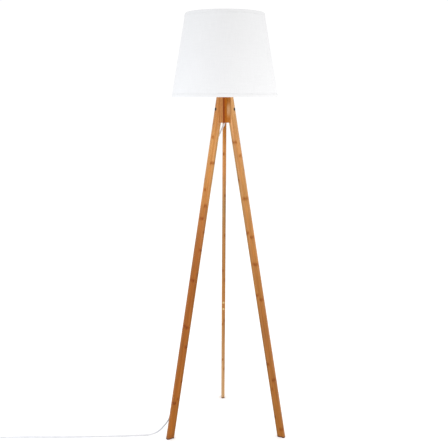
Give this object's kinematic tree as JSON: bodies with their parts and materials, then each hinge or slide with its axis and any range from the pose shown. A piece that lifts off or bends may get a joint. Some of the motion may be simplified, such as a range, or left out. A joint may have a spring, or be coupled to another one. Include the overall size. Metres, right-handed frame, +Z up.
{
  "type": "tripod floor lamp",
  "caption": "Tripod floor lamp: spliced bamboo legs bolted to a block hub, a tapered white fabric shade on a screw lampholder, and a mains lead with foot switch and plug.",
  "frame": {"origin": "on the tripod's axis at the floor, midway between the foot pads", "axes": "+Z up along the tripod's axis; -Y the front, between the two forward legs; +Y towards the rear leg; the lead leaves towards -X"},
  "size_m": [1.1707, 0.419, 1.45],
  "materials": {
    "shade_fabric": "matt woven cotton",
    "shade_liner": "smooth white film",
    "hem_tape": "matt woven tape",
    "white_wire": "white powder coat",
    "white_plastic": "moulded, semi-gloss",
    "ceramic_insert": "moulded, matt",
    "brass": "bright",
    "zinc": "zinc plated",
    "live_insulation": "satin",
    "neutral_insulation": "satin",
    "bamboo": "satin lacquer",
    "black_steel": "black oxide, satin",
    "foot_pad": "matt",
    "white_pvc": "soft PVC sheath, semi-gloss",
    "black_plastic": "moulded, matt",
    "opal_globe": "opal, satin",
    "plug_pin": "nickel plated"
  },
  "bodies": {
    "stand": {"shade_fabric": "shade_fabric", "shade_liner": "shade_liner", "top_hem_tape": "hem_tape", "bottom_hem_tape": "hem_tape", "top_ring_wire": "white_wire", "bottom_ring_wire": "white_wire", "spider_arms": "white_wire", "spider_ring": "white_wire", "shade_ring_nut": "white_plastic", "holder_cap": "white_plastic", "holder_body": "white_plastic", "holder_insert": "ceramic_insert", "holder_thread_shell": "brass", "holder_centre_contact": "brass", "holder_terminals": "brass", "terminal_screws": "zinc", "live_core": "live_insulation", "neutral_core": "neutral_insulation", "threaded_tube": "zinc", "tube_nuts": "zinc", "tube_washers": "zinc", "hub_block": "bamboo", "hub_inserts": "zinc", "leg_bolts": "black_steel", "upper_leg_rear": "bamboo", "upper_leg_left": "bamboo", "upper_leg_right": "bamboo", "lower_leg_rear": "bamboo", "lower_leg_left": "bamboo", "lower_leg_right": "bamboo", "splice_screws": "brass", "foot_pads": "foot_pad", "cord_clips": "white_plastic", "clip_nails": "zinc", "cord_relief": "white_pvc", "lead_cord": "white_pvc", "switch_base": "white_plastic", "switch_cover": "white_plastic", "switch_spring": "zinc", "switch_block": "black_plastic", "switch_screws": "zinc", "switch_clamps": "white_plastic", "switch_live_core": "live_insulation", "switch_neutral_core": "neutral_insulation", "switch_reliefs": "white_pvc", "tail_cord": "white_pvc", "cord_coil": "white_pvc", "end_cord": "white_pvc", "coil_tie": "black_plastic", "plug_relief": "white_pvc", "plug_body": "white_pvc", "plug_pins": "plug_pin", "pin_sleeves": "black_plastic"},
    "bulb_foot": {"bulb_contact": "zinc"},
    "bulb": {"bulb_globe": "opal_globe", "bulb_housing": "white_plastic", "bulb_cap": "zinc", "bulb_insulator": "black_plastic"},
    "button": {"switch_button": "white_plastic"}
  },
  "joints": [
    {"name": "bulb_rise", "type": "slide", "parent": "stand", "child": "bulb_foot", "axis": [0, 0, 1], "range_m": [0, 0.0182]},
    {"name": "bulb_turn", "type": "hinge", "parent": "bulb_foot", "child": "bulb", "pos_m": [0, 0, 1.24], "axis": [0, 0, 1], "range_deg": [0, 1800]},
    {"name": "switch_press", "type": "slide", "parent": "stand", "child": "button", "axis": [0, 0, -1], "range_m": [0, 0.0035], "stiffness_N_per_m": 400, "springref_m": -0.003, "deforming": ["switch_spring"]}
  ],
  "couplings": [
    {"joint": "bulb_rise", "follows": "bulb_turn", "m_per_rad": 0.00057296}
  ]
}
